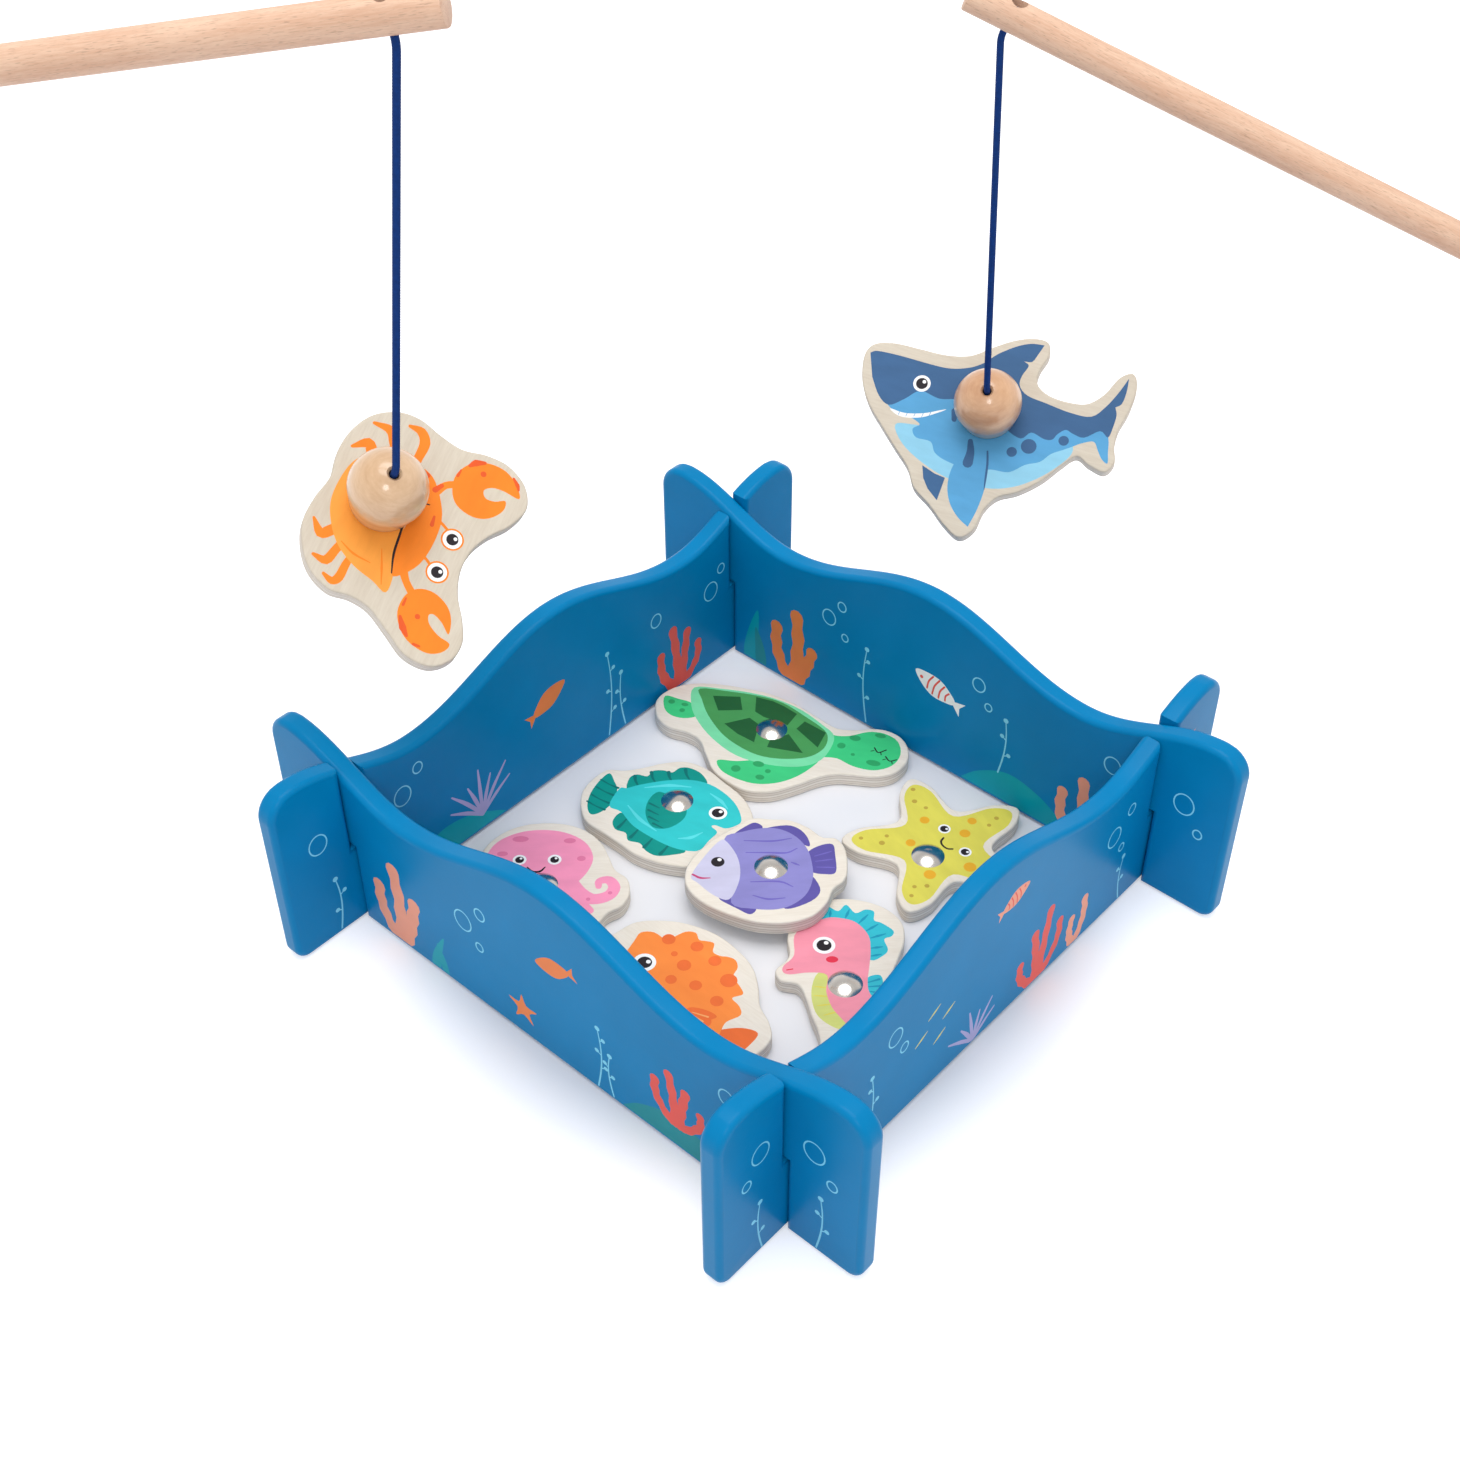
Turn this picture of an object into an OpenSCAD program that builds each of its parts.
// Magnetic fishing game: a pen of four slotted boards, seven wooden sea animals lying in it,
// and two dowel rods whose lines carry a crab and a shark on bead magnets.
// Millimetres, +Z up. The origin is the middle of the pen on the table top.

/* [Pen] */
// Distance between the middles of two facing walls
pen_spacing = 195; // [194:1:250]
// Thickness of the wall boards
wall_t = 8; // [6:0.5:10]
// Length of a wall past the middle of a crossing
ear_l = 33.5; // [26:0.5:45]
// Height of the rim at the middle of a wall
hump_h = 77; // [66:1:100]
// Height of the rim at its two low places
dip_h = 60; // [45:1:64]
// Height of the rim at the ears
ear_h = 75; // [66:1:90]
// Distance of a low place from the crossing beside it
dip_in = 30; // [20:1:45]
// Radius of the top corner of an ear
ear_corner_r = 10; // [6:0.5:14]
// Radius of the bottom corner of an ear
foot_corner_r = 5; // [3:0.5:8]
// Rounding of the edges of the boards
wall_edge_r = 2.2; // [1:0.1:2.8]
// Gap between a slot and the board in it
slot_gap = 0.2; // [0.1:0.05:0.5]

/* [Animals] */
// Thickness of the plywood animals
plate_t = 6; // [4:0.5:8]
// Chamfer round the animals' faces
plate_edge = 0.7; // [0.3:0.1:1]
// Diameter of the steel discs
disc_d = 12; // [9:0.5:12.5]
// Height of a disc's dome
disc_h = 1.8; // [1.2:0.1:2.6]
// Thickness of the steel of a disc
disc_t = 0.5; // [0.3:0.1:0.8]
// Diameter of the pin under a disc
pin_d = 1.4; // [1:0.1:2]
// Length of the pin in the wood
pin_l = 3.2; // [2:0.2:3.4]
// Gap between the pin and its hole
pin_gap = 0.05; // [0.02:0.01:0.1]

/* [Bead magnets] */
// Largest diameter of a bead
bead_d = 26; // [22:0.5:32]
// Diameter of a bead's foot
bead_foot_d = 22; // [18:0.5:26]
// Height of a bead
bead_h = 24; // [22:0.5:30]
// Diameter of the magnet in a bead
magnet_d = 13; // [13:0.1:15]
// Thickness of the magnet
magnet_t = 3; // [2:0.5:4]
// Gap round the magnet
magnet_gap = 0.15; // [0.1:0.05:0.3]
// Gap between the magnet and the dome of the disc that it holds
catch_gap = 0.05; // [0.02:0.01:0.1]
// Gap between the foot of a bead and the animal that it holds
foot_gap = 0.2; // [0.1:0.05:0.5]

/* [Rods and lines] */
// Diameter of a rod
rod_d = 11; // [9:0.5:14]
// Length of a rod
rod_l = 280; // [150:5:400]
// Distance of the line's hole from the rod's tip
hole_in = 16; // [10:1:30]
// Distance from the mouth of a bead to its rod
line_span = 140; // [100:5:180]
// Diameter of the line
line_d = 2.5; // [2:0.1:2.8]
// Diameter of the knots at the line's ends
knot_d = 5.2; // [4.6:0.1:5.4]
// Gap all round the line in a bead
line_gap = 0.45; // [0.3:0.05:0.6]
// Gap all round the line in a rod
rod_hole_gap = 0.65; // [0.5:0.05:0.8]
// Gap all round the knot in a rod
knot_gap = 0.55; // [0.4:0.05:0.7]
// Gap between a knot and the edge of the hole that stops it
seat_gap = 0.05; // [0.02:0.01:0.1]
// Slope of the left rod down to its handle end
left_slope = 9.5; // [0:0.5:25]
// Slope of the right rod down to its handle end
right_slope = 22.5; // [0:0.5:25]

/* [Hidden] */
$fn = 64;

half_spacing = pen_spacing / 2;
pen_edge = half_spacing - wall_t / 2;

// Places of the animals in the pen: [x, y, turn]. Two lie along the front wall and the others
// together along the back wall.
turtle_place = [-46, pen_edge - 30.5, 25];
teal_fish_place = [-46.5, pen_edge - 83.5, 20];
purple_fish_place = [5.5, pen_edge - 90.5, 48];
octopus_place = [-53.5, 40 - pen_edge, 42];
pufferfish_place = [16, 27 - pen_edge, 0];
seahorse_place = [56.5, pen_edge - 111, 42];
starfish_place = [40.5, pen_edge - 44.5, -17];

// Mouths of the two beads, the way that each bead leans, and the turn of the animal under it
left_mouth = [-95, -61, 168];
left_bearing = -16;
crab_turn = -48;
right_mouth = [-33, 170, 113];
right_bearing = -62;
shark_turn = 81;

// A bead leans 3 across for every 4 up
lean = atan2(3, 4);

// How far the lines swing off the vertical, and towards which bearing
left_swing = [6.5, 47];
right_swing = [2.5, -120];

// Directions of the rods from tip to handle, seen from above
left_rod_bearing = 216;
right_rod_bearing = 30;

// Outlines of the animals round their discs, as points that a smooth closed curve runs through
turtle_points = [
    [-48, 3], [-46, 10], [-40, 16], [-30, 19.5], [-18, 20.5], [-6, 20], [6, 16.5], [16, 11.5],
    [24, 8], [31, 9], [37, 11.5], [43, 12], [49, 9.5], [53, 4], [54, -3], [51, -10],
    [45, -14], [37, -15.5], [30, -17], [24, -20.5], [17, -27], [9, -33], [0, -35], [-8, -32.5],
    [-15, -28], [-20, -21], [-25, -13.5], [-31, -10.5], [-39, -9.5], [-45, -5]
];
teal_fish_points = [
    [-34, 0], [-31, 6], [-25, 8], [-19, 12], [-13, 17], [-5, 21], [4, 20], [12, 16],
    [20, 12], [26, 7], [30.5, 0], [32, -8], [31, -15], [27.5, -22], [20, -28.5], [8, -31.5],
    [-3, -31], [-11, -28], [-19, -25], [-27, -22], [-32, -16], [-35, -8]
];
purple_fish_points = [
    [-31, -3], [-29.5, 4], [-25, 10.5], [-19, 16], [-12, 20.5], [-4, 25], [3, 24], [10, 22.5],
    [16, 18], [20, 13], [25, 11.5], [27.5, 6], [27, -3], [25, -9], [20.5, -13], [17, -19.5],
    [11, -25], [2, -27], [-8, -25.5], [-17, -21], [-25, -15], [-29.5, -9]
];
octopus_half = [
    [0, 31.5], [8, 30.5], [15, 27], [20.5, 21], [23.5, 14], [26, 7.5], [30.5, 3], [31.5, -4],
    [29, -10], [24, -13.5], [21, -18], [15, -22.5], [7, -23.5], [0, -23]
];
pufferfish_points = [
    [-34, 15], [-32, 23], [-25, 30], [-17, 34.5], [-7, 37], [3, 36.5], [12, 34], [19, 29],
    [25, 23], [32, 19.5], [37, 15], [38, 8], [36, 0], [30, -4.5], [24, -9], [17, -15],
    [7, -19], [-4, -20], [-16, -17], [-26, -10], [-32, -1], [-34.5, 7]
];
seahorse_points = [
    [-19, 22], [-18.5, 14.5], [-20, 10.5], [-23.5, 6.5], [-22, 2], [-16, 0], [-13.5, -6],
    [-12, -13], [-10, -20], [-9.5, -27], [-12, -34], [-7, -40], [2, -41], [9, -37], [12.5, -30],
    [13, -23], [15, -16], [17.5, -9], [17, -2], [16.5, 5], [19, 12], [21.5, 20], [21, 28],
    [16, 34.5], [8, 38.5], [-1, 39.5], [-10, 36.5], [-16.5, 30]
];
crab_points = [
    [-31, 24], [-31, 32], [-27, 39.5], [-20, 43], [-12, 40.5], [-5, 35.5], [2, 32.5], [10, 32],
    [18, 34.5], [25, 39], [32, 42], [39, 41], [44, 35.5], [44, 27], [39.5, 19], [35, 11],
    [34, 4], [35, -3], [32, -10.5], [26, -16], [18, -19.5], [9, -19.5], [0, -18], [-9, -19.5],
    [-18, -18.5], [-26, -14.5], [-31, -7.5], [-32, 0], [-30, 8], [-29, 16]
];
shark_points = [
    [48, 31], [51, 26], [51, 16], [49.5, 8], [50, 1], [52, -5], [49.5, -10], [43, -9],
    [37.5, -7], [33, -12.5], [28, -20], [21, -27], [14, -31.5], [10.5, -38], [9.5, -46],
    [5, -51], [-2, -48], [-10, -42], [-18, -37], [-23, -30], [-30, -24], [-38, -17],
    [-46, -9.5], [-51.5, -1], [-54, 9], [-51.5, 14.5], [-44, 17], [-34, 17.5], [-23, 18],
    [-14, 20.5], [-7, 26], [0, 31], [7, 34], [13, 34], [15, 29], [13.5, 22], [14.5, 16.5],
    [20, 13.5], [28, 13], [35, 14.5], [40, 20], [43.5, 28]
];

// The starfish has five like arms round its own middle
star_middle = [-2.5, 7];
star_arms = 5;
star_notch_r = 19;
star_flank_r = 30;
star_tip_r = 35.5;
star_flank_angle = 12;

// Fineness of the curves
curve_steps = 3;
wave_steps = 24;
ear_steps = 4;
corner_steps = 5;
ear_arc = 72;
wall_edge_steps = 2;
line_sides = 8;
bend_steps = 5;
span_steps = 8;

wall_half_l = half_spacing + ear_l;
ear_peak = wall_half_l - ear_corner_r;
low_place = half_spacing - dip_in;
slot_half_w = wall_t / 2 + slot_gap;
slot_h = rim(half_spacing) / 2;
face_r = disc_d / 2;
dome_r = (face_r * face_r + disc_h * disc_h) / (2 * disc_h);
magnet_face = foot_gap - disc_h - catch_gap;
magnet_seat_d = magnet_d + 2 * magnet_gap;
knot_flat = sqrt(knot_d * knot_d - line_d * line_d) / 2;
line_hole_r = line_d / 2 + line_gap;
rod_hole_r = line_d / 2 + rod_hole_gap;
stop_depth = 12;
bend_l = 2.5;
shoulder_depth = stop_depth + knot_flat - knot_seat(line_hole_r);
chamber_gap = 1;
chamber_d = knot_d + 2 * chamber_gap;
rod_floor = -1;
rod_knot_z = rod_floor + knot_seat(rod_hole_r);
mouth_flare = 1;
mouth_r = line_hole_r + mouth_flare;
mouth_t = 1.2;
tip_chamfer = 0.6;
handle_chamfer = 1.5;
foot_chamfer = 0.8;
cut = 1;

// Distance from the middle of a knot to the face of the hole, of radius r, that stops it
function knot_seat(r) = sqrt((knot_d / 2 + seat_gap) * (knot_d / 2 + seat_gap) - r * r);

// Direction at an angle from the vertical, towards a bearing
function slanted(angle, bearing) =
    [sin(angle) * cos(bearing), sin(angle) * sin(bearing), cos(angle)];

// Height of the rim over the table, at a distance from the middle of the wall
function rim(x) = let (a = abs(x))
    a <= low_place
        ? (hump_h + dip_h) / 2 + (hump_h - dip_h) / 2 * cos(180 * a / low_place)
        : (ear_h + dip_h) / 2
            - (ear_h - dip_h) / 2 * cos(180 * (a - low_place) / (ear_peak - low_place));

// Points of an arc about c
function arc(c, r, from, to, steps) = [
    for (i = [0 : steps])
        let (a = from + (to - from) * i / steps)
        c + r * [cos(a), sin(a)]
];

// Rim points from one distance to another
function rim_run(from, to, steps) = [
    for (i = [0 : steps])
        let (x = from + (to - from) * i / steps)
        [x, rim(x)]
];

// The two inner corners of a slot at c, and its two mouth corners in the bottom edge
function slot_below(c) = [
    [c - slot_half_w, 0],
    [c - slot_half_w, slot_h + slot_gap],
    [c + slot_half_w, slot_h + slot_gap],
    [c + slot_half_w, 0]
];
function slot_above(c) = [
    [c + slot_half_w, slot_h - slot_gap],
    [c - slot_half_w, slot_h - slot_gap]
];

function rim_whole() = rim_run(ear_peak, -ear_peak, wave_steps + 2 * ear_steps);
function rim_slotted() = concat(
    rim_run(ear_peak, half_spacing + slot_half_w, ear_steps),
    slot_above(half_spacing),
    rim_run(half_spacing - slot_half_w, slot_half_w - half_spacing, wave_steps),
    slot_above(-half_spacing),
    rim_run(-half_spacing - slot_half_w, -ear_peak, ear_steps)
);

// Outline of a wall, counterclockwise from its left foot. Lower walls have their slots open
// upward, and upper walls have them open downward.
function wall_outline(upper) = concat(
    arc([foot_corner_r - wall_half_l, foot_corner_r], foot_corner_r, 180, 270, corner_steps),
    upper ? slot_below(-half_spacing) : [],
    upper ? slot_below(half_spacing) : [],
    arc([wall_half_l - foot_corner_r, foot_corner_r], foot_corner_r, 270, 360, corner_steps),
    arc([ear_peak, ear_h - ear_corner_r], ear_corner_r, 0, ear_arc, corner_steps),
    upper ? rim_whole() : rim_slotted(),
    arc([-ear_peak, ear_h - ear_corner_r], ear_corner_r, 180 - ear_arc, 180, corner_steps)
);

// Smooth closed curve through points
function curve_point(a, b, c, d, t) =
    (2 * b + (c - a) * t + (2 * a - 5 * b + 4 * c - d) * t * t
        + (3 * b - a - 3 * c + d) * t * t * t) / 2;
function smooth(p) = let (n = len(p)) [
    for (i = [0 : n - 1], k = [0 : curve_steps - 1])
        curve_point(p[(i + n - 1) % n], p[i], p[(i + 1) % n], p[(i + 2) % n], k / curve_steps)
];

// A half outline and its mirror image, from the top round to the top
function both_halves(p) = concat(
    p,
    [for (i = [len(p) - 2 : -1 : 1]) [-p[i].x, p[i].y]]
);

function star_points() = [
    for (i = [0 : star_arms - 1])
        let (a = 90 + 360 * i / star_arms)
        for (q = [
            [star_notch_r, a - 180 / star_arms],
            [star_flank_r, a - star_flank_angle],
            [star_tip_r, a],
            [star_flank_r, a + star_flank_angle]
        ])
            star_middle + q[0] * [cos(q[1]), sin(q[1])]
];

// Outlines run counterclockwise
function signed_area(p) = let (n = len(p)) [
    for (i = 0, s = 0; i <= n; s = s + cross(p[i % n], p[(i + 1) % n]), i = i + 1) s
][n];
function counterclockwise(p) = signed_area(p) > 0 ? p : [for (i = [len(p) - 1 : -1 : 0]) p[i]];

// Outline moved inward by d, square to its edges
function inward(a, b) = let (v = b - a) [-v.y, v.x] / norm(v);
function inset(p, d) = let (n = len(p)) [
    for (i = [0 : n - 1])
        let (
            u = inward(p[(i + n - 1) % n], p[i]),
            v = inward(p[i], p[(i + 1) % n])
        )
        p[i] + d * (u + v) / (1 + u * v)
];

// Twice the area of a triangle, above 0 if its corners run counterclockwise
function double_area(a, b, c) = cross(b - a, c - a);

// Whether a triangle has one of some points of an outline p in it, other than its own corners
function is_blocked(p, some, a, b, c) = len([
    for (j = some)
        let (q = p[j])
        if (q != a && q != b && q != c
            && double_area(a, b, q) >= 0
            && double_area(b, c, q) >= 0
            && double_area(c, a, q) >= 0) j
]) > 0;

// How well shaped a triangle is, or 0 if it can't be cut off an outline with these hollow corners
function worth(p, hollow, a, b, c) = let (size = double_area(a, b, c))
    size <= 0 || is_blocked(p, hollow, a, b, c)
        ? 0
        : size / ((b - a) * (b - a) + (c - b) * (c - b) + (a - c) * (a - c));

// Triangles that fill an outline p, cut off corner by corner, the best shaped first
function triangles(p, left, done = []) = let (n = len(left)) n < 4
    ? concat(done, [left])
    : let (
        trios = [for (i = [0 : n - 1]) [left[(i + n - 1) % n], left[i], left[(i + 1) % n]]],
        hollow = [for (t = trios) if (double_area(p[t[0]], p[t[1]], p[t[2]]) < 0) t[1]],
        worths = [for (t = trios) worth(p, hollow, p[t[0]], p[t[1]], p[t[2]])],
        best = search(max(worths), worths)[0]
    ) triangles(
        p,
        [for (i = [0 : n - 1]) if (i != best) left[i]],
        concat(done, [trios[best]])
    );

// A board of thickness t on an outline, with its face edges rounded by r in some steps
module board(outline, t, r, steps) {
    p = counterclockwise(outline);
    n = len(p);
    lower = [for (k = [0 : steps]) let (a = 90 * k / steps) [r * (1 - sin(a)), r * (1 - cos(a))]];
    rings = concat(lower, [for (k = [steps : -1 : 0]) [lower[k][0], t - lower[k][1]]]);
    points = [for (q = rings) for (v = inset(p, q[0])) [v.x, v.y, q[1]]];
    last = len(rings) - 1;
    sides = [
        for (j = [0 : last - 1], i = [0 : n - 1])
            let (k = (i + 1) % n)
            [j * n + i, (j + 1) * n + i, (j + 1) * n + k, j * n + k]
    ];
    bottom = triangles(inset(p, r), [for (i = [0 : n - 1]) i]);
    top = [for (t = bottom) [last * n + t[2], last * n + t[1], last * n + t[0]]];
    polyhedron(points, concat(bottom, sides, top), convexity = 10);
}

// A wall standing on its edge along X, its middle over the origin
module wall(upper) {
    color([0.08, 0.45, 0.7])
        translate([0, wall_t / 2, 0])
            rotate([90, 0, 0])
                board(wall_outline(upper), wall_t, wall_edge_r, wall_edge_steps);
}

// An animal lying on the table, with the hole for its disc's pin at the origin
module plate(outline) {
    color([0.91, 0.86, 0.78])
        difference() {
            board(outline, plate_t, plate_edge, 1);
            translate([0, 0, plate_t - pin_l - pin_gap])
                cylinder(h = pin_l + pin_gap + cut, d = pin_d + 2 * pin_gap);
        }
}

// A domed steel disc with its pin, its rim on the plane z = 0
module disc() {
    color([0.8, 0.8, 0.82]) {
        difference() {
            intersection() {
                translate([0, 0, disc_h - dome_r]) sphere(r = dome_r);
                cylinder(h = disc_h, d = disc_d);
            }
            intersection() {
                translate([0, 0, disc_h - dome_r]) sphere(r = dome_r - disc_t);
                translate([0, 0, -cut]) cylinder(h = disc_h + cut, d = disc_d);
            }
        }
        translate([0, 0, -pin_l]) cylinder(h = pin_l + disc_h - disc_t / 2, d = pin_d);
    }
}

// The place of an animal in the pen, lying on the table or on other animals
module in_pen(place, lift = 0) {
    translate([place[0], place[1], lift])
        rotate([0, 0, place[2]])
            children();
}

// The frame of a bead: its mouth at the origin and its axis along Z
module at_bead(mouth, bearing) {
    translate(mouth)
        rotate([0, lean, bearing])
            children();
}

// The frame of a caught animal: its top face on the plane z = 0 under the bead
module caught(mouth, bearing, turn) {
    at_bead(mouth, bearing)
        translate([0, 0, -bead_h - foot_gap])
            rotate([0, 0, turn])
                children();
}

// Where a line meets the underside of its rod
function line_end(mouth, swing) = mouth + line_span * slanted(swing[0], swing[1]);

// The frame of a rod: the middle of the line's hole at the origin and the handle along X
module at_rod(mouth, swing, rod_bearing, slope) {
    translate(line_end(mouth, swing) + rod_d / 2 * slanted(slope, rod_bearing))
        rotate([0, slope, rod_bearing])
            children();
}

module bead() {
    color([0.82, 0.62, 0.4])
        difference() {
            union() {
                translate([0, 0, -bead_d / 2]) sphere(d = bead_d);
                translate([0, 0, foot_chamfer - bead_h])
                    cylinder(h = bead_h - foot_chamfer - bead_d / 2, d1 = bead_foot_d, d2 = bead_d);
                translate([0, 0, -bead_h])
                    cylinder(
                        h = foot_chamfer,
                        d1 = bead_foot_d - 2 * foot_chamfer,
                        d2 = bead_foot_d
                    );
            }
            translate([0, 0, -bead_h - bead_d])
                cylinder(h = bead_d, d = 2 * bead_d);
            translate([0, 0, -bead_h]) cylinder(h = bead_h, r = line_hole_r);
            translate([0, 0, -mouth_t])
                cylinder(h = mouth_t + cut, r1 = mouth_r - mouth_t, r2 = mouth_r + cut);
            translate([0, 0, -bead_h]) cylinder(h = bead_h - shoulder_depth, d = chamber_d);
            translate([0, 0, -bead_h - cut])
                cylinder(h = cut + magnet_t - magnet_face, d = magnet_seat_d);
        }
}

module magnet() {
    color([0.7, 0.7, 0.72])
        translate([0, 0, -bead_h - magnet_face])
            cylinder(h = magnet_t, d = magnet_d);
}

// A knot as a ball with a flat where the line comes out of it, on the plane z = 0
module knot() {
    color([0.08, 0.2, 0.5])
        difference() {
            translate([0, 0, knot_flat]) sphere(d = knot_d);
            translate([0, 0, -knot_d]) cylinder(h = knot_d, d = knot_d);
        }
}

module rod() {
    color([0.87, 0.7, 0.55])
        difference() {
            rotate([0, 90, 0]) {
                translate([0, 0, -hole_in])
                    cylinder(h = tip_chamfer, d1 = rod_d - 2 * tip_chamfer, d2 = rod_d);
                translate([0, 0, tip_chamfer - hole_in])
                    cylinder(h = rod_l - tip_chamfer - handle_chamfer, d = rod_d);
                translate([0, 0, rod_l - hole_in - handle_chamfer])
                    cylinder(h = handle_chamfer, d1 = rod_d, d2 = rod_d - 2 * handle_chamfer);
            }
            translate([0, 0, -rod_d])
                cylinder(h = rod_d + rod_floor, r = rod_hole_r);
            translate([0, 0, rod_floor])
                cylinder(h = rod_d, d = knot_d + 2 * knot_gap);
        }
}

// Points of a bend from a to c, whose two ends point to b
function bend(a, b, c) = [
    for (i = [0 : bend_steps])
        let (t = i / bend_steps)
        (1 - t) * (1 - t) * a + 2 * t * (1 - t) * b + t * t * c
];

// Route of a line from the knot in its bead to the knot in its rod. It keeps to the middle of
// the holes, and bends just outside them.
function route(mouth, bearing, swing, rod_bearing, slope) = let (
    low_way = slanted(lean, bearing),
    high_way = slanted(slope, rod_bearing),
    end = line_end(mouth, swing),
    low = mouth + bend_l * low_way,
    high = end - bend_l * high_way,
    span = (high - low) / norm(high - low),
    from = low + bend_l * span,
    to = high - bend_l * span
) concat(
    [mouth - stop_depth * low_way, mouth - stop_depth / 2 * low_way],
    bend(mouth, low, from),
    [for (i = [1 : span_steps - 1]) from + (to - from) * i / span_steps],
    bend(to, high, end),
    [end + (rod_d / 2 + rod_knot_z - knot_flat) * high_way]
);

// Rings of a round line about each route point, square to the bends of the route
function way(p, i) = let (
    a = p[max(i - 1, 0)],
    b = p[min(i + 1, len(p) - 1)]
) (b - a) / norm(b - a);
function ring(middle, along, side) = let (
    a = cross(side, along) / norm(cross(side, along)),
    b = cross(along, a)
) [
    for (k = [0 : line_sides - 1])
        let (turn = 360 * k / line_sides)
        middle + line_d / 2 * (cos(turn) * a + sin(turn) * b)
];
module line(mouth, bearing, swing, rod_bearing, slope) {
    p = route(mouth, bearing, swing, rod_bearing, slope);
    n = line_sides;
    last = len(p) - 1;
    side = [-sin(bearing), cos(bearing), 0];
    points = [for (i = [0 : last]) for (q = ring(p[i], way(p, i), side)) q];
    sides = [
        for (j = [0 : last - 1], i = [0 : n - 1])
            let (k = (i + 1) % n)
            [j * n + i, (j + 1) * n + i, (j + 1) * n + k, j * n + k]
    ];
    bottom = [[for (i = [0 : n - 1]) i]];
    top = [[for (i = [n - 1 : -1 : 0]) last * n + i]];
    color([0.08, 0.2, 0.5]) polyhedron(points, concat(bottom, sides, top));
}

module wall_front() translate([0, -half_spacing, 0]) wall(true);
module wall_back() translate([0, half_spacing, 0]) wall(true);
module wall_left() translate([-half_spacing, 0, 0]) rotate([0, 0, 90]) wall(false);
module wall_right() translate([half_spacing, 0, 0]) rotate([0, 0, 90]) wall(false);

module turtle() in_pen(turtle_place) plate(smooth(turtle_points));
module teal_fish() in_pen(teal_fish_place) plate(smooth(teal_fish_points));
module purple_fish() in_pen(purple_fish_place, plate_t) plate(smooth(purple_fish_points));
module octopus() in_pen(octopus_place) plate(smooth(both_halves(octopus_half)));
module pufferfish() in_pen(pufferfish_place) plate(smooth(pufferfish_points));
module seahorse() in_pen(seahorse_place) plate(smooth(seahorse_points));
module starfish() in_pen(starfish_place) plate(smooth(star_points()));
module crab()
    caught(left_mouth, left_bearing, crab_turn)
        translate([0, 0, -plate_t]) plate(smooth(crab_points));
module shark()
    caught(right_mouth, right_bearing, shark_turn)
        translate([0, 0, -plate_t]) plate(smooth(shark_points));

module turtle_disc() in_pen(turtle_place, plate_t) disc();
module teal_fish_disc() in_pen(teal_fish_place, plate_t) disc();
module purple_fish_disc() in_pen(purple_fish_place, 2 * plate_t) disc();
module octopus_disc() in_pen(octopus_place, plate_t) disc();
module pufferfish_disc() in_pen(pufferfish_place, plate_t) disc();
module seahorse_disc() in_pen(seahorse_place, plate_t) disc();
module starfish_disc() in_pen(starfish_place, plate_t) disc();
module crab_disc() caught(left_mouth, left_bearing, crab_turn) disc();
module shark_disc() caught(right_mouth, right_bearing, shark_turn) disc();

module left_rod() at_rod(left_mouth, left_swing, left_rod_bearing, left_slope) rod();
module left_knot()
    at_rod(left_mouth, left_swing, left_rod_bearing, left_slope)
        translate([0, 0, rod_knot_z - knot_flat]) knot();
module left_line()
    line(left_mouth, left_bearing, left_swing, left_rod_bearing, left_slope);
module left_stop_knot()
    at_bead(left_mouth, left_bearing) translate([0, 0, -stop_depth]) rotate([180, 0, 0]) knot();
module left_magnet() at_bead(left_mouth, left_bearing) magnet();
module left_bead() at_bead(left_mouth, left_bearing) bead();

module right_rod() at_rod(right_mouth, right_swing, right_rod_bearing, right_slope) rod();
module right_knot()
    at_rod(right_mouth, right_swing, right_rod_bearing, right_slope)
        translate([0, 0, rod_knot_z - knot_flat]) knot();
module right_line()
    line(right_mouth, right_bearing, right_swing, right_rod_bearing, right_slope);
module right_stop_knot()
    at_bead(right_mouth, right_bearing) translate([0, 0, -stop_depth]) rotate([180, 0, 0]) knot();
module right_magnet() at_bead(right_mouth, right_bearing) magnet();
module right_bead() at_bead(right_mouth, right_bearing) bead();

wall_front();
wall_back();
wall_left();
wall_right();
turtle();
teal_fish();
purple_fish();
octopus();
pufferfish();
seahorse();
starfish();
crab();
shark();
turtle_disc();
teal_fish_disc();
purple_fish_disc();
octopus_disc();
pufferfish_disc();
seahorse_disc();
starfish_disc();
crab_disc();
shark_disc();
left_rod();
left_knot();
left_line();
left_stop_knot();
left_magnet();
left_bead();
right_rod();
right_knot();
right_line();
right_stop_knot();
right_magnet();
right_bead();
